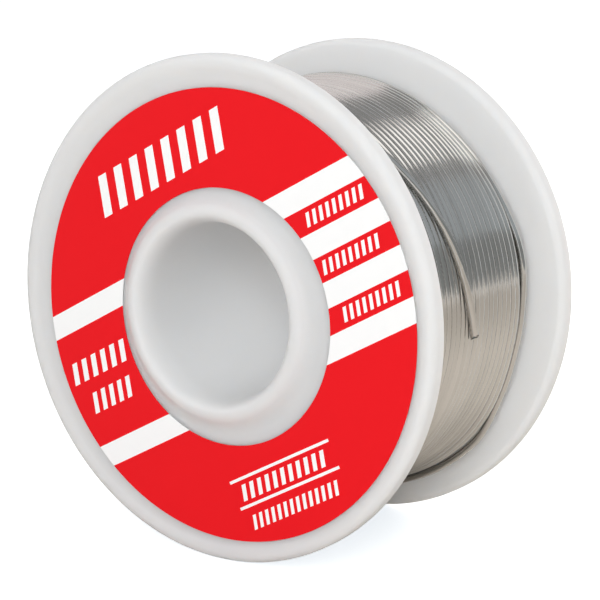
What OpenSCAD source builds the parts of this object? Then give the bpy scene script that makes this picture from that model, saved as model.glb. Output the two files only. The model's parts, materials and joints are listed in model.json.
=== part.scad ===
// Solder wire spool: two push-together mouldings, a ring label and one length of wire.
// The spindle axis lies along Y, the labelled face looks towards -Y, and +Z is up.
// The origin is the middle of the bore.

/* [Flanges] */
// Outer diameter of both flanges
flange_d = 60; // [56:1:80]
// Clear width between the flanges, filled by the wire
inner_w = 26.4; // [26.2:0.1:40]
// Thickness of a flange at its rim
rim_t = 2.7; // [2.4:0.1:4]
// Radial width of the raised rim bead
rim_w = 2.1; // [2.1:0.1:3.4]
// Depth of the label recess below the rim
recess = 0.3; // [0.2:0.1:1]
// Rounding of the rim's corners
rim_round = 0.9; // [0.5:0.1:1]

/* [Hub] */
// Diameter of the spindle bore
bore_d = 21; // [16:0.2:22]
// Wall of the bore tube
tube_wall = 1.6; // [1.2:0.1:2.4]
// Rounding of the lip's crest at each mouth of the bore
lip_r = 1.1; // [0.6:0.1:1.2]
// Height of the lip above the label recess
lip_h = 1.3; // [1.2:0.1:2]
// Radial width of the lip at its sloping foot
lip_w = 2.6; // [2.5:0.05:3]
// Outer diameter of the winding barrel
barrel_d = 43.8; // [40:0.2:45]
// Wall of the winding barrel
barrel_wall = 1.5; // [1:0.1:2.5]

/* [Joint between the mouldings] */
// Play where the two mouldings push together
fit_gap = 0.05; // [0.02:0.01:0.15]
// Length of the collar that grips the bore tube
collar_l = 6; // [4:0.5:10]
// Wall of the collar
collar_wall = 1.5; // [1:0.1:2]
// Height of the snap bead on the bore tube
snap_h = 0.3; // [0.1:0.05:0.4]
// Width of the snap bead
snap_w = 1; // [0.6:0.1:1.6]
// Distance of the snap bead from the end of the tube
snap_pos = 2; // [1:0.1:3]
// Length of the ring that centres the open end of the barrel
spigot_l = 3; // [2:0.5:6]
// Wall of that ring
spigot_wall = 1.4; // [1:0.1:2]
// Number of ribs between collar and barrel
ribs = 6; // [3:1:12]
// Thickness of a rib
rib_t = 1.2; // [0.8:0.1:2]
// Height of a rib above the web
rib_h = 10; // [5:0.5:15]

/* [Wire] */
// Diameter of the solder wire
wire_d = 1; // [0.8:0.1:1.2]
// Depth of the wound wire over the barrel
wound_t = 3.4; // [2.6:0.1:5]
// Turns in the outer layer
turns = 24; // [12:1:24]
// Diameter of the outer layer's tube, drawn thin to keep its turns apart
turn_d = 0.62; // [0.4:0.01:0.64]
// Width of the ditch beside the rear flange, where the outer layer goes down
ditch_w = 1.3; // [1:0.1:2]
// Radius of the bend where the outer layer goes down
drop_r = 0.8; // [0.5:0.1:1]
// Diameter of the hole that holds the wire's inner end
start_hole_d = 1.6; // [1.4:0.1:2.4]
// Length of the bent leg of the inner end
start_leg = 4; // [2:0.5:8]
// Inner radius of the bend in that leg
start_bend = 0.5; // [0.3:0.1:1]

/* [Label] */
// Width of bare recess between the centred label and the rim bead
label_margin = 1.2; // [1.2:0.05:3]
// Width of bare recess between the lip and the centred label's hole
label_gap = 2.1; // [1.2:0.05:4]
// How far the label is stuck off centre, across
label_x = 1; // [-1:0.05:1]
// How far the label is stuck off centre, upwards
label_z = -0.5; // [-0.6:0.05:0.6]
// Thickness of the label
label_t = 0.15; // [0.1:0.05:0.3]

/* [Hidden] */
$fn = 96;

flange_r = flange_d / 2;
rim_in = flange_r - rim_w;         // inside of the rim bead
bore_r = bore_d / 2;
barrel_r = barrel_d / 2;
web_t = rim_t - recess;
face_y = inner_w / 2;              // inner face of each flange, from the middle
web_y = face_y + web_t;            // outer face of each web
lip_foot_r = bore_r + lip_w;
tube_r = bore_r + tube_wall;
collar_r = tube_r + fit_gap + collar_wall;
hollow_r = barrel_r - barrel_wall; // inside of the barrel

wire_r = wire_d / 2;
turn_r = turn_d / 2;
wound_r = barrel_r + wound_t;
layer_r = wound_r - turn_r;        // centre line of the outer layer
rings = 24;                        // tube sections in one turn
pack_gap = 0.02;
// The straight stretches between sections cut inside the layer's radius
pack_r = layer_r * cos(180 / rings) - turn_r - pack_gap;
ditch_r = layer_r - drop_r - turn_d;
start_r = barrel_r + start_hole_d / 2;
start_angle = 140;

// Free end of the wire: angle round the spool, distance of the wire's side from the
// front flange, and height of its underside above the outer layer
end_route = [
    [94, 0.05, -0.65], [89, 0.15, -0.45], [84, 0.5, -0.15], [79, 1, 0.05],
    [74, 1.6, 0.1], [69, 2.25, 0.1], [64, 2.9, 0.1], [59, 3.6, 0.1],
    [54, 4.35, 0.1], [49, 5.1, 0.1], [44, 5.9, 0.1], [39, 6.7, 0.1],
    [34, 7.5, 0.1], [29, 8.25, 0.1], [24, 8.95, 0.1], [19, 9.55, 0.1],
    [14, 10.1, 0.1], [9, 10.6, 0.1], [4, 11.15, 0.1], [-1, 11.8, 0.1],
    [-6, 12.55, 0.1]
];
end_sides = 8;

plastic = "whitesmoke";
solder = "silver";

// ---------- shared shapes ----------

// Turns a profile drawn as (radius, distance along the spindle) about the Y axis
module turned() {
    rotate([-90, 0, 0]) rotate_extrude() children();
}

// Half profile of a flange lying on its inner face, with rim bead, web and lip
module flange_profile() {
    lip_y = web_t + lip_h - lip_r;
    // web
    translate([bore_r, 0]) square([rim_in + rim_w / 2 - bore_r, web_t]);
    // rim bead
    translate([rim_in + rim_round, 0]) square([rim_w - 2 * rim_round, rim_t]);
    translate([rim_in + rim_round, rim_round]) square([rim_w - rim_round, rim_t - 2 * rim_round]);
    translate([rim_in, 0]) square([rim_w / 2, rim_t - rim_round]);
    for (r = [rim_in + rim_round, flange_r - rim_round])
        translate([r, rim_t - rim_round]) circle(rim_round);
    translate([flange_r - rim_round, rim_round]) circle(rim_round);
    // lip round the bore, its slope a tangent from the foot to the crest's rounding
    crest = [bore_r + lip_r, lip_y];
    foot = [lip_foot_r, web_t];
    reach = foot - crest;
    slope = atan2(reach.y, reach.x) + acos(lip_r / norm(reach));
    translate(crest) circle(lip_r);
    polygon([[bore_r, 0], [lip_foot_r, 0], foot,
             crest + lip_r * [cos(slope), sin(slope)], crest, [bore_r, lip_y]]);
}

// Snap bead on the outside of the bore tube; grow widens it for its groove
module snap_profile(grow = 0) {
    translate([tube_r, 0]) polygon([
        [-tube_wall / 2, -snap_w / 2 - grow], [grow, -snap_w / 2 - grow],
        [snap_h + grow, -snap_w / 6 - grow], [snap_h + grow, snap_w / 6 + grow],
        [grow, snap_w / 2 + grow], [-tube_wall / 2, snap_w / 2 + grow]
    ]);
}

function unit(v) = v / norm(v);

// Point on a circle about the spindle
function on_circle(angle, y, r) = [r * cos(angle), y, r * sin(angle)];

// Direction of a path at one of its points
function heading(path, i) =
    unit(path[min(i + 1, len(path) - 1)] - path[max(i - 1, 0)]);

// One section of a tube, set square to its direction
function section(p, dir, r, sides) =
    let (u = unit([0, 1, 0] - dir.y * dir), v = cross(dir, u))
    [for (k = [0:sides - 1]) p + r * (cos(360 * k / sides) * u + sin(360 * k / sides) * v)];

// Closed tube swept along a path
module tube(path, r, sides) {
    n = len(path);
    points = [for (i = [0:n - 1]) each section(path[i], heading(path, i), r, sides)];
    last = (n - 1) * sides;
    walls = [for (i = [0:n - 2], k = [0:sides - 1])
        let (a = i * sides + k, b = i * sides + (k + 1) % sides)
        each [[a, b + sides, b], [a, a + sides, b + sides]]];
    caps = [for (k = [1:sides - 2]) each [[0, k, k + 1], [last, last + k + 1, last + k]]];
    polyhedron(points, concat(walls, caps), convexity = 10);
}

// ---------- mouldings ----------

// Front flange with the whole bore tube and the ring that centres the barrel
module front_flange() {
    color(plastic) turned() {
        translate([0, -face_y]) mirror([0, 1]) flange_profile();
        translate([bore_r, -face_y - web_t / 2]) square([tube_wall, inner_w + web_t / 2]);
        translate([0, face_y - snap_pos]) snap_profile();
        translate([hollow_r - fit_gap - spigot_wall, -face_y - web_t / 2])
            square([spigot_wall, spigot_l + web_t / 2]);
    }
}

// Rear flange with the winding barrel, the collar for the tube and the ribs
module rear_flange() {
    color(plastic) difference() {
        union() {
            turned() {
                translate([0, face_y]) flange_profile();
                translate([hollow_r, -face_y]) square([barrel_wall, inner_w + web_t / 2]);
                difference() {
                    translate([tube_r + fit_gap, face_y - collar_l])
                        square([collar_wall, collar_l + web_t / 2]);
                    translate([0, face_y - snap_pos]) snap_profile(fit_gap);
                }
            }
            for (k = [0:ribs - 1]) rotate([0, 360 * k / ribs, 0])
                translate([collar_r - collar_wall / 2, face_y - rib_h, -rib_t / 2])
                    cube([hollow_r - collar_r + collar_wall / 2 + barrel_wall / 2,
                          rib_h + web_t / 2, rib_t]);
        }
        start_hole();
    }
}

// Hole through the rear web, just above the barrel
module start_hole() {
    translate(on_circle(start_angle, face_y - web_t, start_r)) rotate([-90, 0, 0])
        cylinder(h = 3 * web_t, d = start_hole_d);
}

// ---------- label ----------

// Ring label in the front recess, stuck slightly off centre
module front_label() {
    hole_r = lip_foot_r + label_gap;
    color("red") translate([label_x, 0, label_z]) turned()
        translate([hole_r, -web_y - label_t])
            square([rim_in - label_margin - hole_r, label_t]);
}

// ---------- wire ----------

// Inner layers, drawn as a plain core with the ditch beside the rear flange
module wire_pack() {
    color(solder) turned() {
        translate([barrel_r, -face_y]) square([pack_r - barrel_r, inner_w - ditch_w]);
        translate([barrel_r, -face_y]) square([ditch_r - barrel_r, inner_w]);
    }
}

// A point of the free end's centre line
function end_point(p) = on_circle(p[0], -face_y + wire_r + p[1], wound_r + wire_r + p[2]);

// Outer layer: one tube from the free end, round and round, to the middle of the ditch
layer_from = end_point(end_route[0]).y;
layer_to = face_y - ditch_w / 2;
layer_angle = end_route[0][0] + atan(turn_d / layer_r);
layer_steps = turns * rings;
function helix(step) = on_circle(layer_angle + 360 * step / rings,
    layer_from + (layer_to - layer_from) * step / layer_steps, layer_r);

// There it bends down, and runs straight on to the ditch's floor
drop_steps = 4;
drop_angle = layer_angle + 360 * turns;
drop_top = helix(layer_steps);
drop_out = on_circle(drop_angle, 0, 1);
drop_on = on_circle(drop_angle + 90, 0, 1);
layer_path = concat(
    [helix(0) + turn_d * unit(helix(0) - helix(1))],
    [for (step = [0:layer_steps]) helix(step)],
    [for (k = [1:drop_steps]) let (a = 90 * k / drop_steps)
        drop_top + drop_r * (sin(a) * drop_on - (1 - cos(a)) * drop_out)],
    [drop_top + drop_r * drop_on - (drop_r + turn_d) * drop_out]
);

// Least gap between neighbouring turns, measured between the path's points
layer_last = len(layer_path) - 1;
layer_gap = min([for (i = [0:layer_last - rings / 2])
    min([for (j = [i + rings / 2:min(i + 3 * rings / 2, layer_last)])
        norm(layer_path[i] - layer_path[j])])]) - turn_d;
echo(layer_gap = layer_gap);

module wire_layer() {
    color(solder) tube(layer_path, turn_r, 6);
}

// Free end of the wire, lying across the turns
module wire_end() {
    color(solder) tube([for (p = end_route) end_point(p)], wire_r, end_sides);
}

// Inner end of the wire, poked out through the rear web and bent flat on it
module wire_start() {
    bend_r = start_bend + wire_r;
    leg_y = web_y + wire_r;
    color(solder) translate(on_circle(start_angle, 0, start_r)) rotate([0, 90 - start_angle, 0]) {
        translate([0, face_y, 0]) rotate([-90, 0, 0])
            cylinder(h = leg_y - bend_r - face_y, d = wire_d);
        translate([bend_r, leg_y - bend_r, 0]) rotate([0, 0, 90])
            rotate_extrude(angle = 90) translate([bend_r, 0]) circle(d = wire_d);
        translate([bend_r, leg_y, 0]) rotate([0, 90, 0]) cylinder(h = start_leg, d = wire_d);
    }
}

front_flange();
rear_flange();
front_label();
wire_pack();
wire_layer();
wire_end();
wire_start();
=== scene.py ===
"""A spool of solder wire: two white mouldings, a ring label and one length of wire.

The spindle axis lies along Y, the labelled face looks towards -Y, and +Z is up.
Lengths on the spool are written in millimetres and multiplied by MM. The places of
the cards and lamps round it are in metres.
"""

import json
import math

import bpy
from mathutils import Matrix, Vector


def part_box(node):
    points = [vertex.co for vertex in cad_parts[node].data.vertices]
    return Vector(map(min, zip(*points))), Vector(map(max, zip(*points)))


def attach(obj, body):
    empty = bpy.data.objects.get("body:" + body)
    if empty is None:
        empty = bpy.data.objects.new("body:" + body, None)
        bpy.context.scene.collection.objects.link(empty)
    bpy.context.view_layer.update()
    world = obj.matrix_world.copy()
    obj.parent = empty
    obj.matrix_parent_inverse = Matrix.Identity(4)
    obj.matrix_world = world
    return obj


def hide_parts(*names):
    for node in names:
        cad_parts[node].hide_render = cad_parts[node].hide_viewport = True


MM = 0.001
AXIS = Vector((0, 1, 0))
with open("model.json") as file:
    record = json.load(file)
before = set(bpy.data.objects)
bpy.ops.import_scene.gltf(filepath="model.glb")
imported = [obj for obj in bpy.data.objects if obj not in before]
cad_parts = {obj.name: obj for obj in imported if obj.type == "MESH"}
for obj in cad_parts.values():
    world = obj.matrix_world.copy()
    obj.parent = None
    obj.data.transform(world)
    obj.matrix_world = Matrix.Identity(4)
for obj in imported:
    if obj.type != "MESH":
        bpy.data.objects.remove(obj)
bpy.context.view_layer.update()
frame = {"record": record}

# ---------------------------------------------------------------- rear moulding
# The rear flange and the winding barrel are one white injection moulding, slightly
# translucent. Its collar grips the end of the bore tube, and six ribs brace the collar
# inside the barrel. The wire's inner end goes out through a small hole in the web.

_, flange_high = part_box("rear_flange")
FLANGE_R = flange_high.x / MM
RIM_T = 2.7
RIM_ROUND = 0.9
RECESS = 0.3
SHOULDER_ROUND = 3
FLAT_R = 20  # a circle on the flat between rim and lip
LIP_H = 1.3
LIP_CROWN = 1.8
LIP_FILLET = 2.4
MOUTH_W = 1.2
MOUTH_DEPTH = 3
ROUND_STEPS = 7
SLOPE_STEPS = 8
MOUTH_STEPS = 12
BORE_R = frame["record"]["mounts"][0]["dims"]["r_mm"]
WEB_T = RIM_T - RECESS
FACE_Y = flange_high.y / MM - WEB_T - LIP_H
WEB_Y = FACE_Y + WEB_T

BARREL_R = 21.9
BARREL_WALL = 1.5
HOLLOW_R = BARREL_R - BARREL_WALL
TUBE_WALL = 1.6
TUBE_R = BORE_R + TUBE_WALL
FIT_GAP = 0.05
COLLAR_WALL = 1.5
COLLAR_R = TUBE_R + FIT_GAP + COLLAR_WALL
COLLAR_L = 6
SNAP_FROM_END = 2
SNAP_AT = FACE_Y - SNAP_FROM_END
SNAP_H = 0.3
SNAP_W = 1.0
RIB_L = 10
RIB_T = 1.2
RIBS = 6
START_ANGLE = math.radians(140)
START_HOLE_R = 0.8
START_R = BARREL_R + START_HOLE_R
DRILL_L = 3 * WEB_T

WELD = 0.001 * MM
TURNED_STEPS = 240
TURNED_SMOOTH = math.radians(32)


def arc(centre_r, centre_s, radius, start, end, steps):
    """Points of an arc, from one angle in degrees to another."""
    angles = [math.radians(start + (end - start) * k / steps) for k in range(steps + 1)]
    return [
        (centre_r + radius * math.cos(a), centre_s + radius * math.sin(a))
        for a in angles
    ]


def soft_step(inner_r, top, drop, crown, fillet):
    """From a crown at inner_r down to a fillet, outwards, with one slope for both."""
    lean = math.acos(1 - drop / (crown + fillet))
    foot_r = inner_r + (crown + fillet) * math.sin(lean)
    lean = math.degrees(lean)
    return (
        arc(inner_r, top - crown, crown, 90, 90 - lean, SLOPE_STEPS)
        + arc(foot_r, top - drop + fillet, fillet, -90 - lean, -90, SLOPE_STEPS)[1:]
    )


def flange_outline():
    """From the inner face, round the rim and over the lip into the bore.

    Each point is a radius and a height above the inner face.
    """
    edge = FLANGE_R - RIM_ROUND
    crest = BORE_R + MOUTH_W
    shoulder = soft_step(0, RIM_T, RECESS, SHOULDER_ROUND, SHOULDER_ROUND)
    lip = soft_step(crest, WEB_T + LIP_H, LIP_H, LIP_CROWN, LIP_FILLET)
    mouth = [
        (crest + MOUTH_W * x, WEB_T + LIP_H - MOUTH_DEPTH * (1 - y))
        for x, y in arc(0, 0, 1, 90, 180, MOUTH_STEPS)
    ]
    return (
        arc(edge, RIM_ROUND, RIM_ROUND, -90, 0, ROUND_STEPS)
        + arc(edge, RIM_T - RIM_ROUND, RIM_ROUND, 0, 90, ROUND_STEPS)
        + [(edge - r, s) for r, s in shoulder[1:]]
        + [(FLAT_R, WEB_T)]
        + lip[::-1]
        + mouth[1:]
    )


def turned(name, outline, steps=TURNED_STEPS):
    """A solid turned about the spindle from a closed outline of (radius, y) points."""
    bpy.ops.mesh.primitive_plane_add(size=MM)
    piece = bpy.context.object
    piece.name = piece.data.name = name
    bpy.ops.object.mode_set(mode="EDIT")
    bpy.ops.mesh.merge(type="CENTER")
    points = [Vector((r, y, 0)) * MM for r, y in outline + outline[:1]]
    bpy.ops.transform.translate(value=points[0])
    for a, b in zip(points, points[1:]):
        bpy.ops.mesh.extrude_region_move(TRANSFORM_OT_translate={"value": b - a})
    bpy.ops.mesh.select_all(action="SELECT")
    bpy.ops.mesh.remove_doubles(threshold=WELD)
    bpy.ops.mesh.spin(steps=steps, angle=2 * math.pi, center=(0, 0, 0), axis=AXIS)
    bpy.ops.mesh.select_all(action="SELECT")
    bpy.ops.mesh.remove_doubles(threshold=WELD)
    bpy.ops.mesh.normals_make_consistent(inside=False)
    bpy.ops.object.mode_set(mode="OBJECT")
    bpy.ops.object.shade_smooth_by_angle(angle=TURNED_SMOOTH)
    return piece


def snap_outline(grow):
    """The snap bead on the bore tube, from its front to its rear, or its groove.

    Its top is a third as wide as its foot.
    """
    half, top = SNAP_W / 2 + grow, SNAP_W / 6 + grow
    r = TUBE_R + grow
    return [
        (r, SNAP_AT - half),
        (r + SNAP_H, SNAP_AT - top),
        (r + SNAP_H, SNAP_AT + top),
        (r, SNAP_AT + half),
    ]


rear_outline = (
    [(r, FACE_Y + s) for r, s in flange_outline()]
    + [(BORE_R, FACE_Y), (TUBE_R + FIT_GAP, FACE_Y)]
    + snap_outline(FIT_GAP)[::-1]
    + [(TUBE_R + FIT_GAP, FACE_Y - COLLAR_L), (COLLAR_R, FACE_Y - COLLAR_L)]
    + [(COLLAR_R, FACE_Y), (HOLLOW_R, FACE_Y)]
    + [(HOLLOW_R, -FACE_Y), (BARREL_R, -FACE_Y), (BARREL_R, FACE_Y)]
)
rear = turned("rear_moulding", rear_outline)

start_out = Vector((math.cos(START_ANGLE), 0, math.sin(START_ANGLE)))
bpy.ops.mesh.primitive_cylinder_add(
    vertices=32,
    radius=START_HOLE_R * MM,
    depth=DRILL_L * MM,
    location=(START_R * start_out + (FACE_Y + WEB_T / 2) * AXIS) * MM,
    rotation=(math.pi / 2, 0, 0),
)
drill = bpy.context.object
bpy.context.view_layer.objects.active = rear
hole = rear.modifiers.new("start_hole", "BOOLEAN")
hole.object = drill
hole.solver = "EXACT"
bpy.ops.object.modifier_apply(modifier=hole.name)
bpy.data.objects.remove(drill)

ribs = []
for k in range(RIBS):
    bpy.ops.mesh.primitive_cube_add(
        size=1,
        location=((COLLAR_R + HOLLOW_R) / 2 * MM, (FACE_Y - RIB_L / 2) * MM, 0),
        scale=((HOLLOW_R - COLLAR_R) * MM, RIB_L * MM, RIB_T * MM),
    )
    rib = bpy.context.object
    bpy.ops.object.transform_apply(location=True, rotation=True, scale=True)
    rib.data.transform(Matrix.Rotation(2 * math.pi * k / RIBS, 4, "Y"))
    ribs.append(rib)
bpy.ops.object.select_all(action="DESELECT")
for piece in (*ribs, rear):
    piece.select_set(True)
bpy.context.view_layer.objects.active = rear
bpy.ops.object.join()


def written_as(operation):
    """An operator of Value that adds this Math node."""
    return lambda value, *other: value.shader.math(operation, value, *other)


class Value:
    """A shader socket. Sums written with it add Math nodes."""

    __add__ = __radd__ = written_as("ADD")
    __sub__ = written_as("SUBTRACT")
    __mul__ = __rmul__ = written_as("MULTIPLY")
    __truediv__ = written_as("DIVIDE")
    __mod__ = written_as("FLOORED_MODULO")
    __abs__ = written_as("ABSOLUTE")
    __lt__ = written_as("LESS_THAN")
    __gt__ = written_as("GREATER_THAN")
    __or__ = written_as("MAXIMUM")

    def __init__(self, shader, socket):
        self.shader = shader
        self.socket = socket

    def beside(self, name):
        """Another output of the same node."""
        return Value(self.shader, self.socket.node.outputs[name])


class Shader:
    """The node tree of a material or of the world."""

    def __init__(self, owner):
        self.owner = owner
        owner.use_nodes = True
        self.tree = owner.node_tree
        self.tree.nodes.clear()

    def feed(self, socket, value):
        """Links a Value to a socket, or sets what the socket itself says."""
        if isinstance(value, Value):
            self.tree.links.new(value.socket, socket)
        else:
            socket.default_value = value

    def node(self, kind, sockets=None, out=0, stops=(), **settings):
        """Adds a node: its settings first, then the values or links of its sockets."""
        made = self.tree.nodes.new(kind)
        for name, value in settings.items():
            setattr(made, name, value)
        if stops:
            ramp = made.color_ramp.elements
            while len(ramp) < len(stops):
                ramp.new(1)
            for element, (place, colour) in zip(ramp, stops):
                element.position = place
                element.color = (*colour, 1)
        for name, value in (sockets or {}).items():
            self.feed(made.inputs[name], value)
        return Value(self, made.outputs[out]) if made.outputs else made

    def math(self, operation, *values):
        """A Math node."""
        return self.node("ShaderNodeMath", dict(enumerate(values)), operation=operation)

    def object_point(self):
        """The point on the object, in metres."""
        return self.node("ShaderNodeTexCoord", out="Object")

    def noise(self, point, scale, detail=2.0):
        """Noise from 0 to 1, finer at a larger scale."""
        sockets = {"Vector": point, "Scale": scale, "Detail": detail}
        return self.node("ShaderNodeTexNoise", sockets, out="Fac")

    def mix(self, share, first, second):
        """A colour between two others."""
        mixed = self.tree.nodes.new("ShaderNodeMix")
        mixed.data_type = "RGBA"
        inputs = {(socket.name, socket.type): socket for socket in mixed.inputs}
        self.feed(inputs["Factor", "VALUE"], share)
        self.feed(inputs["A", "RGBA"], (*first, 1))
        self.feed(inputs["B", "RGBA"], (*second, 1))
        return Value(self, next(s for s in mixed.outputs if s.type == "RGBA"))

    def bump(self, height, strength, distance):
        """A normal for small relief."""
        sockets = {"Height": height, "Strength": strength, "Distance": distance}
        return self.node("ShaderNodeBump", sockets, out="Normal")

    def seen(self):
        """1 for rays from the camera, off gloss or through glass, 0 for the others."""
        seen = self.node("ShaderNodeLightPath", out="Is Camera Ray")
        return seen | seen.beside("Is Glossy Ray") | seen.beside("Is Transmission Ray")

    def surface(self, **sockets):
        """The closing shader: underscores in a socket's name stand for spaces."""
        named = {name.replace("_", " "): value for name, value in sockets.items()}
        shader = self.node("ShaderNodeBsdfPrincipled", named)
        self.node("ShaderNodeOutputMaterial", {"Surface": shader})
        return self.owner


# Moulded plastic lets some light through, and is satin from the tool, with a trace of
# unevenness in its gloss.
plastic = Shader(bpy.data.materials.new("spool_plastic"))
point = plastic.object_point()
cloudy = plastic.noise(point, 90.0, detail=3.0)
tool_marks = plastic.noise(point, 1400.0)
spool_plastic = plastic.surface(
    Base_Color=plastic.mix(cloudy, (0.70, 0.705, 0.71), (0.725, 0.725, 0.725)),
    Roughness=0.36 + 0.10 * cloudy,
    IOR=1.49,
    Specular_IOR_Level=0.35,
    Subsurface_Weight=1.0,
    Subsurface_Radius=(1.0, 0.95, 0.9),
    Subsurface_Scale=3.5 * MM,
    Normal=plastic.bump(tool_marks, 0.05, 0.05 * MM),
)

rear.data.materials.append(spool_plastic)
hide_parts("rear_flange")
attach(rear, "root")

# --------------------------------------------------------------- front moulding
# The front flange is the other white moulding, with the whole bore tube. The ring
# behind it centres the open end of the barrel, and the tube's bead snaps into the
# groove of the rear collar.

SPIGOT_L = 3
SPIGOT_WALL = 1.4
SPIGOT_R = HOLLOW_R - FIT_GAP
SPIGOT_IN = SPIGOT_R - SPIGOT_WALL
SPIGOT_Y = -FACE_Y + SPIGOT_L

front_outline = (
    [(r, -FACE_Y - s) for r, s in flange_outline()]
    + [(BORE_R, FACE_Y), (TUBE_R, FACE_Y)]
    + snap_outline(0)[::-1]
    + [(TUBE_R, -FACE_Y), (SPIGOT_IN, -FACE_Y)]
    + [(SPIGOT_IN, SPIGOT_Y), (SPIGOT_R, SPIGOT_Y), (SPIGOT_R, -FACE_Y)]
)
front = turned("front_moulding", front_outline)
front.data.materials.append(spool_plastic)
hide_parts("front_flange")
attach(front, "root")

# ----------------------------------------------------------- inner layers of wire
# Below the outer turns lie the inner layers of the same wire. Only slits between the
# outer turns show them, so they are one ring whose surface has the turns' shape.

WIRE_R = 0.5
WOUND_R = 25.3
TURNS = 24.3
END_ROUTE = [
    # degrees round the spool, mm from the front flange, mm above the turns
    (94, 0.05, -0.65), (89, 0.15, -0.45), (84, 0.5, -0.15), (79, 1, 0.05),
    (74, 1.6, 0.1), (69, 2.25, 0.1), (64, 2.9, 0.1), (59, 3.6, 0.1),
    (54, 4.35, 0.1), (49, 5.1, 0.1), (44, 5.9, 0.1), (39, 6.7, 0.1),
    (34, 7.5, 0.1), (29, 8.25, 0.1), (24, 8.95, 0.1), (19, 9.55, 0.1),
    (14, 10.1, 0.1), (9, 10.6, 0.1), (4, 11.15, 0.1), (-1, 11.8, 0.1),
    (-6, 12.55, 0.1),
]  # fmt: skip
END_ANGLE, END_START, END_LIFT = END_ROUTE[0]
LAST_FROM_FACE = 0.65
FIRST_Y = -FACE_Y + WIRE_R + END_START
LAST_Y = FACE_Y - LAST_FROM_FACE
PITCH = (LAST_Y - FIRST_Y) / TURNS
TURN_R = WOUND_R - WIRE_R
INNER_R = TURN_R - 2 * WIRE_R
INNER_STEPS = 180
SCALLOP = 0.34

inner_outline = [(BARREL_R, -FACE_Y), (BARREL_R, FACE_Y)]
scallops = round(2 * FACE_Y / PITCH)
for k in reversed(range(scallops)):
    middle = -FACE_Y + 2 * FACE_Y * (k + 0.5) / scallops
    for share in (0.5, 0.3, 0.1, -0.1, -0.3, -0.5):
        r = INNER_R + WIRE_R - SCALLOP * (2 * share) ** 2
        inner_outline.append((r, middle + share * 2 * FACE_Y / scallops))
inner = turned("solder_inner", inner_outline, steps=INNER_STEPS)

# Solder is a soft bright metal, drawn through a die: fine lines run along the wire, and
# handling has dulled it here and there.
LINES_ROUND = 0.8
LINES_ACROSS = 900.0

solder_look = Shader(bpy.data.materials.new("solder"))
point = solder_look.object_point()
dull = solder_look.noise(point, 260.0, detail=3.0)
x = solder_look.node("ShaderNodeSeparateXYZ", {"Vector": point}, out="X")
y, z = x.beside("Y"), x.beside("Z")
round_the_spool = solder_look.node(
    "ShaderNodeCombineXYZ",
    {
        "X": solder_look.math("ARCTAN2", z, x) * LINES_ROUND,
        "Y": y * LINES_ACROSS,
        "Z": solder_look.math("SQRT", x * x + z * z) * LINES_ACROSS,
    },
)
lines = solder_look.noise(round_the_spool, 1.0)
solder = solder_look.surface(
    Base_Color=solder_look.mix(lines, (0.57, 0.56, 0.54), (0.80, 0.79, 0.77)),
    Metallic=1.0,
    Roughness=0.09 + 0.10 * dull,
)
inner.data.materials.append(solder)
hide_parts("wire_pack")
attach(inner, "root")

# ------------------------------------------------------------ outer layer of wire
# The outer layer is laid turn against turn, from under the free end at the front to
# the rear flange, where the wire comes up from the layer below. No turn lies perfectly
# true, and the last one springs away from its neighbour on one side.

STEPS = 120
WIRE_SIDES = 16
WIRE_SMOOTH = math.radians(40)
HIDDEN_SIDE = -158
WAVER = 0.018
BULGE = 0.9
DIP = 0.5
LOOSE_TOP = 0.2
LOOSE_HUMP = 0.3
LOOSE_FOOT = 0.6
LOOSE_ASIDE = 0.10
DROP = 25  # degrees


def on_circle(angle, y, r):
    """A point at an angle in degrees round the spool."""
    a = math.radians(angle)
    return Vector((r * math.cos(a), y, r * math.sin(a)))


def hump(x, middle, half_width):
    """1 in the middle, falling smoothly to 0."""
    t = min(abs(x - middle) / half_width, 1)
    return 0.5 + 0.5 * math.cos(math.pi * t)


def rise(x, start, end):
    """0 before start, climbing smoothly to 1 at end."""
    t = min(max((x - start) / (end - start), 0), 1)
    return t * t * (3 - 2 * t)


def outer_point(turn):
    """Centre of the wire after so many turns from the front flange."""
    total = END_ANGLE + 360 * turn
    angle = (total - HIDDEN_SIDE) % 360 + HIDDEN_SIDE
    left = TURNS - turn
    y = FIRST_Y + PITCH * turn
    r = TURN_R
    # no turn lies true: slow waves that never fall in step
    wander = math.radians(360 * turn)
    y += WAVER * (math.sin(0.37 * wander + 1) + math.sin(0.83 * wander + 2))
    r += WAVER * math.sin(0.61 * wander)
    # within a twelfth of a turn the front end rises to where the free end leaves
    r += (WIRE_R + END_LIFT + WIRE_R) * max(0, 1 - turn * 12) ** 2
    # the rearmost turns bulge above and below, and dip between
    bulge = BULGE * rise(angle, 72, 108) - DIP * hump(angle, 50, 32)
    bulge += BULGE * (1 - rise(angle, -44, -12))
    r += bulge * (1 - rise(left, 0.8, 6))
    # the last turn is loose: it stands off the others, most of all at the bottom
    if left < 1:
        loose = LOOSE_TOP * (1 - rise(angle, 14, 34)) + LOOSE_HUMP * hump(angle, 11, 15)
        loose += LOOSE_FOOT * (1 - rise(angle, -46, -30))
        from_hidden = rise(angle, HIDDEN_SIDE, -95)
        r += loose * from_hidden
        y += LOOSE_ASIDE * from_hidden * (1 - rise(angle, 14, 34))
    # the rear end goes down to the layer below
    r -= 2 * WIRE_R * (1 - rise(left * 360, 0, DROP))
    return on_circle(total, y, r)


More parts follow.
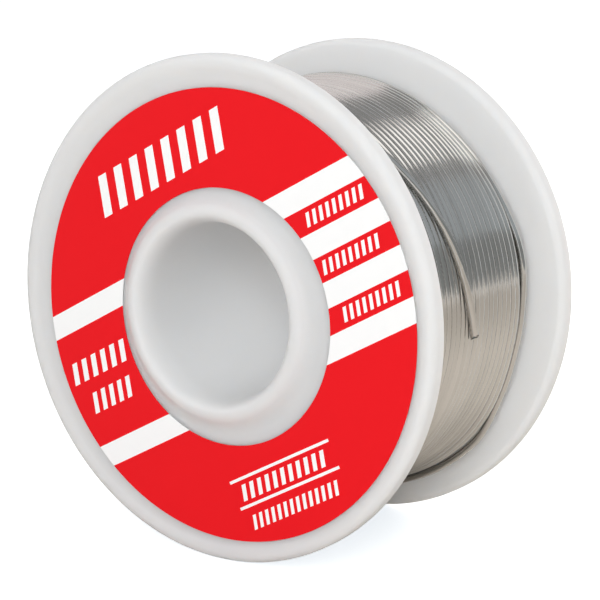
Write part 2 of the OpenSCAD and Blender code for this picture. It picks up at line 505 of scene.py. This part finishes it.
def drawn(name, points):
    """A wire along the points, closed at both ends."""
    curve = bpy.data.curves.new(name, "CURVE")
    curve.dimensions = "3D"
    curve.bevel_depth = WIRE_R * MM
    curve.bevel_resolution = WIRE_SIDES // 4 - 1
    curve.use_fill_caps = True
    spline = curve.splines.new("POLY")
    spline.points.add(len(points) - 1)
    for place, p in zip(spline.points, points):
        place.co = (*(p * MM), 1)
    piece = bpy.data.objects.new(name, curve)
    bpy.context.collection.objects.link(piece)
    bpy.ops.object.select_all(action="DESELECT")
    piece.select_set(True)
    bpy.context.view_layer.objects.active = piece
    bpy.ops.object.convert(target="MESH")
    piece = bpy.context.object
    piece.name = piece.data.name = name
    bpy.ops.object.shade_smooth_by_angle(angle=WIRE_SMOOTH)
    return piece


outer_path = [outer_point(k / STEPS) for k in range(round(TURNS * STEPS) + 1)]
outer = drawn("solder_turns", outer_path)
outer.data.materials.append(solder)
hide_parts("wire_layer")
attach(outer, "root")

# --------------------------------------------------------------- free end of wire
# The free end comes up beside the front flange, springs across the turns and was
# snipped off. It stands a little off the turns that it crosses.

CORE_R = 0.17
CORE_SUNK = 0.12
SNIP_BACK = 0.25
SNIP_SLANT = 0.8
SNIP_ASIDE = 0.6

end_path = [
    on_circle(angle, -FACE_Y + WIRE_R + distance, WOUND_R + WIRE_R + lift)
    for angle, distance, lift in END_ROUTE
]
end = drawn("solder_end", end_path)
end.data.materials.append(solder)

# The cutters left a slanted face, with the brown flux core in its middle.
flux_look = Shader(bpy.data.materials.new("flux_core"))
grain = flux_look.noise(flux_look.object_point(), 3000.0)
flux = flux_look.surface(
    Base_Color=flux_look.mix(grain, (0.05, 0.025, 0.008), (0.12, 0.06, 0.02)),
    Roughness=0.3,
)
end.data.materials.append(flux)
onward = (end_path[-1] - end_path[-2]).normalized()
outward = Vector((end_path[-1].x, 0, end_path[-1].z)).normalized()
bpy.ops.object.mode_set(mode="EDIT")
bpy.ops.mesh.select_all(action="SELECT")
bpy.ops.mesh.bisect(
    plane_co=(end_path[-1] - SNIP_BACK * onward) * MM,
    plane_no=(onward + SNIP_SLANT * (outward - SNIP_ASIDE * AXIS)).normalized(),
    use_fill=True,
    clear_outer=True,
)
bpy.ops.mesh.select_mode(type="FACE")
bpy.ops.mesh.inset(thickness=(WIRE_R - CORE_R) * MM)
sink = -CORE_SUNK * MM * onward
bpy.ops.mesh.extrude_region_move(TRANSFORM_OT_translate={"value": sink})
bpy.context.object.active_material_index = 1
bpy.ops.object.material_slot_assign()
bpy.ops.mesh.select_mode(type="VERT")
bpy.ops.object.mode_set(mode="OBJECT")
bpy.ops.object.shade_smooth_by_angle(angle=WIRE_SMOOTH)
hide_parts("wire_end")
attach(end, "root")

# -------------------------------------------------------------- inner end of wire
# Before winding, the wire is pushed out through the rear web and bent flat on it, so
# that it holds.

START_BEND = 1.0
START_LEG = 4.0
BEND_STEPS = 8

leg_y = WEB_Y + WIRE_R
corner = START_R * start_out + (leg_y - START_BEND) * AXIS + START_BEND * start_out
start_path = [START_R * start_out + FACE_Y * AXIS]
for k in range(BEND_STEPS + 1):
    a = math.radians(90 * k / BEND_STEPS)
    bend = math.sin(a) * AXIS - math.cos(a) * start_out
    start_path.append(corner + START_BEND * bend)
start_path.append(start_path[-1] + START_LEG * start_out)
start = drawn("solder_start", start_path)
start.data.materials.append(solder)
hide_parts("wire_start")
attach(start, "root")

# -------------------------------------------------------------------- ring label
# A die-cut ring of coated paper, printed red with white bands, lies in the front
# recess. It was stuck on slightly off centre.

label_low, label_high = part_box("front_label")
LABEL_MIDDLE = (label_low + label_high) / 2 / MM
LABEL_R = (label_high.x - label_low.x) / 2 / MM
LABEL_HOLE = 15.2
LABEL_T = 0.15
LABEL_EDGE = 0.03
LABEL_Y = -WEB_Y - LABEL_T
LABEL_SHIFT = (LABEL_MIDDLE.x * MM, 0, LABEL_MIDDLE.z * MM)

label_outline = [
    (LABEL_HOLE, -WEB_Y),
    (LABEL_R, -WEB_Y),
    (LABEL_R, LABEL_Y + LABEL_EDGE),
    (LABEL_R - LABEL_EDGE, LABEL_Y),
    (LABEL_HOLE + LABEL_EDGE, LABEL_Y),
    (LABEL_HOLE, LABEL_Y + LABEL_EDGE),
]
label = turned("ring_label", label_outline)
label.data.transform(Matrix.Translation(LABEL_SHIFT))

# Two white bands cross the whole ring and two more its right half. Rows of slanted
# strokes stand where words would, one of them between two thin rules.
RED = (0.845, 0.008, 0.014)
WHITE = (0.97, 0.97, 0.97)
TILT = math.radians(28)
RULE_MIDDLE = -0.5
RULE_HALF = 7.95
STROKE_SLANT = 0.3
STROKE_SHARE = 0.5
STROKE_ROWS = [
    # left, right, low and high in mm from the label's middle, number of strokes
    (-10.9, 11.0, 17.2, 22.0, 8),
    (-25.6, -15.4, 0.7, 3.3, 6),
    (-24.2, -16.8, -3.5, -1.0, 5),
    (16.2, 25.2, 4.65, 6.25, 9),
    (15.8, 24.6, -1.0, 0.6, 9),
    (15.9, 24.7, -6.75, -5.1, 9),
    (-7.5, 6.3, -20.55, -18.65, 11),
    (-7.6, 6.4, -24.1, -22.4, 14),
]

print_look = Shader(bpy.data.materials.new("label_print"))
label_point = print_look.node(
    "ShaderNodeMapping",
    {
        "Vector": print_look.object_point(),
        "Location": LABEL_SHIFT,
        "Rotation": (0, -TILT, 0),
        "Scale": (MM, MM, MM),
    },
    vector_type="TEXTURE",
)
across = print_look.node("ShaderNodeSeparateXYZ", {"Vector": label_point}, out="X")
up = across.beside("Z")


def band(low, high):
    """1 between two heights across the bands."""
    return (up > low) * (up < high)


def strokes(left, right, low, high, count):
    """A row of slanted strokes, as a plain mark where words would stand."""
    place = (across - left - STROKE_SLANT * (up - low)) / ((right - left) / count)
    row = (place > 0) * (place < count) * band(low, high)
    return row * (place % 1.0 < STROKE_SHARE)


whole_bands = band(6.83, 9.66) | band(-10.19, -7.40)
right_bands = (band(1.13, 3.94) | band(-4.55, -1.70)) * (across > 0)
rules = band(-18.1, -17.75) | band(-21.4, -21.05)
rules = rules * (abs(across - RULE_MIDDLE) < RULE_HALF)
white = whole_bands | right_bands | rules
for row in STROKE_ROWS:
    white = white | strokes(*row)
coated = print_look.noise(print_look.object_point(), 900.0)
label_print = print_look.surface(
    Base_Color=print_look.mix(white, RED, WHITE),
    Roughness=0.45 + 0.06 * coated,
    Specular_IOR_Level=0.12,
    Normal=print_look.bump(coated, 0.04, 0.03 * MM),
)
label.data.materials.append(label_print)
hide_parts("front_label")
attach(label, "root")

# --------------------------------------------------------------- table and lights
# The spool stands on its two rims on a pale table. Large soft lamps light it. Cards to
# the right, behind and above, and a beige mat, are there for the wire to reflect.

FLOOR_Z = -FLANGE_R * MM
TABLE_SIZE = 6
TABLE_GLOW = 0.80
WORLD_LIGHT = 0.50

bpy.ops.mesh.primitive_plane_add(size=TABLE_SIZE, location=(0, 0, FLOOR_Z))
table = bpy.context.object
table.name = "table"
table_look = Shader(bpy.data.materials.new("table"))
lit = table_look.node("ShaderNodeBsdfDiffuse", {"Color": (0.70, 0.66, 0.61, 1)})
strength = TABLE_GLOW * table_look.seen()
sockets = {"Color": (0.88, 0.94, 1, 1), "Strength": strength}
glow = table_look.node("ShaderNodeEmission", sockets)
both = table_look.node("ShaderNodeAddShader", {0: lit, 1: glow})
table_look.node("ShaderNodeOutputMaterial", {"Surface": both})
table.data.materials.append(table_look.owner)

world_look = Shader(bpy.data.worlds.new("studio"))
bpy.context.scene.world = world_look.owner
strength = WORLD_LIGHT + (1 - WORLD_LIGHT) * world_look.seen()
sockets = {"Color": (1, 1, 1, 1), "Strength": strength}
background = world_look.node("ShaderNodeBackground", sockets)
world_look.node("ShaderNodeOutputWorld", {"Surface": background})

CARD_T = 0.001
RIGHT, BACK, TOP = 0.5, 0.5, 0.6  # the planes that most cards lie in
FAR = -1.5  # how far they reach to the left and to the front
BAND_Y = BACK - CARD_T
STRIP_Z = -0.004
BACK_SEAM = -0.26
TOP_SEAM = -0.135
BOX_FRONT, BOX_BACK, BOX_Z = -0.34, 0.12, 0.5


def card(name, colour, low, high, glows=True):
    """A flat card between two corners that only gloss shows.

    It glows, or is lit by the lamps.
    """
    low, high = Vector(low), Vector(high)
    bpy.ops.mesh.primitive_cube_add(size=1, location=(low + high) / 2)
    piece = bpy.context.object
    piece.name = name
    bpy.ops.transform.resize(value=[max(length, CARD_T) for length in high - low])
    bpy.ops.object.transform_apply(location=True, rotation=True, scale=True)
    look = Shader(bpy.data.materials.new(name))
    kind = "ShaderNodeEmission" if glows else "ShaderNodeBsdfDiffuse"
    shade = look.node(kind, {"Color": (*colour, 1)})
    look.node("ShaderNodeOutputMaterial", {"Surface": shade})
    piece.data.materials.append(look.owner)
    piece.visible_camera = False
    piece.visible_diffuse = False
    piece.visible_transmission = False
    piece.visible_shadow = False
    return look, shade


for name, colour, low, high in [
    ("right_strip", (0.82, 0.79, 0.755), (RIGHT, FAR, FLOOR_Z), (RIGHT, BACK, STRIP_Z)),
    ("right_low", (0.24, 0.25, 0.25), (RIGHT, FAR, STRIP_Z), (RIGHT, BACK, 0.20)),
    ("right_high", (0.38, 0.41, 0.43), (RIGHT, FAR, 0.20), (RIGHT, BACK, TOP)),
    ("back_low", (0.20, 0.21, 0.21), (BACK_SEAM, BACK, FLOOR_Z), (RIGHT, BACK, 0.14)),
    ("back_high", (0.26, 0.27, 0.28), (BACK_SEAM, BACK, 0.14), (RIGHT, BACK, TOP)),
    ("back_band", (0.34, 0.35, 0.36), (BACK_SEAM, BAND_Y, 0.22), (RIGHT, BAND_Y, 0.27)),
    ("back_left", (0.88, 0.82, 0.83), (FAR, BACK, FLOOR_Z), (BACK_SEAM, BACK, TOP)),
    ("top_left", (0.87, 0.81, 0.81), (FAR, FAR, TOP), (TOP_SEAM, BACK, TOP)),
    ("top_flag", (0.30, 0.30, 0.30), (TOP_SEAM, FAR, TOP), (RIGHT, BACK, TOP)),
    ("top_glow", (0.90, 0.87, 0.85), (0.055, BOX_FRONT, BOX_Z), (0.1, BOX_BACK, BOX_Z)),
    ("top_box", (1.34, 1.32, 1.29), (0.1, BOX_FRONT, BOX_Z), (0.31, BOX_BACK, BOX_Z)),
]:
    card(name, colour, low, high)

# The mat's colour holds painted light and shade: darker close to the spool as its
# shadow, lighter in a ring beyond, and dimmer again far off.
MAT_LIFT = 0.1
MAT_Z = FLOOR_Z + MAT_LIFT * MM
MAT_COLOUR = Vector((0.70, 0.64, 0.57))
MAT_REACH = 350
MAT_PAINTED_SHADING = [
    # mm from the middle of the spool, share of the colour: painted shade near the
    # spool, a painted brighter ring beyond
    (30, 0.80), (40, 0.93), (48, 1.10), (72, 1.10), (108, 0.94), (151, 0.82),
    (MAT_REACH, 0.72),
]  # fmt: skip

mat_low, mat_high = (-1.0, FAR, MAT_Z), (RIGHT, 1.0, MAT_Z)
mat_look, mat_shade = card("mat", MAT_COLOUR, mat_low, mat_high, glows=False)
sockets = {0: mat_look.object_point()}
distance = mat_look.node(
    "ShaderNodeVectorMath", sockets, out="Value", operation="LENGTH"
)
painted_shading = mat_look.node(
    "ShaderNodeValToRGB",
    {"Fac": distance / (MAT_REACH * MM)},
    stops=[(far / MAT_REACH, MAT_COLOUR * share) for far, share in MAT_PAINTED_SHADING],
)
mat_look.feed(mat_shade.socket.node.inputs["Color"], painted_shading)


def softbox(name, place, size, watts, colour):
    """A square lamp that looks at the spool."""
    bpy.ops.object.light_add(type="AREA", location=place)
    lamp = bpy.context.object
    lamp.name = name
    lamp.data.size = size
    lamp.data.energy = watts
    lamp.data.color = colour
    lamp.visible_glossy = False
    lamp.rotation_euler = Vector(place).to_track_quat("Z", "Y").to_euler()


softbox("key", (0.34, -0.64, 0.306), 0.25, 2.5, (0.95, 0.98, 1.0))
softbox("front_fill", (0.46, -0.64, 0.15), 0.3, 1.2, (0.93, 0.97, 1.0))
softbox("back_fill", (0.13, 0.60, 0.23), 0.3, 2.7, (1.0, 0.98, 0.97))

# ------------------------------------------------------------------------ camera
AZIMUTH = math.radians(35.58)
ELEVATION = math.radians(11.212)
DISTANCE = 255.882
ASIDE = -0.659
ABOVE = 1.033
SENSOR = 36
LENS = 125.5
CLIP_START = 10

back = Vector((
    math.sin(AZIMUTH) * math.cos(ELEVATION),
    -math.cos(AZIMUTH) * math.cos(ELEVATION),
    math.sin(ELEVATION),
))
right = Vector((math.cos(AZIMUTH), math.sin(AZIMUTH), 0))
above = back.cross(right)
bpy.ops.object.camera_add()
camera = bpy.context.object
camera.name = "camera"
camera.matrix_world = Matrix.Translation(
    (DISTANCE * back - ASIDE * right - ABOVE * above) * MM
) @ Matrix((right, above, back)).transposed().to_4x4()
camera.data.sensor_width = SENSOR
camera.data.lens = LENS
camera.data.clip_start = CLIP_START * MM
bpy.context.scene.camera = camera
bpy.context.scene.view_settings.view_transform = "Standard"

bpy.context.view_layer.update()
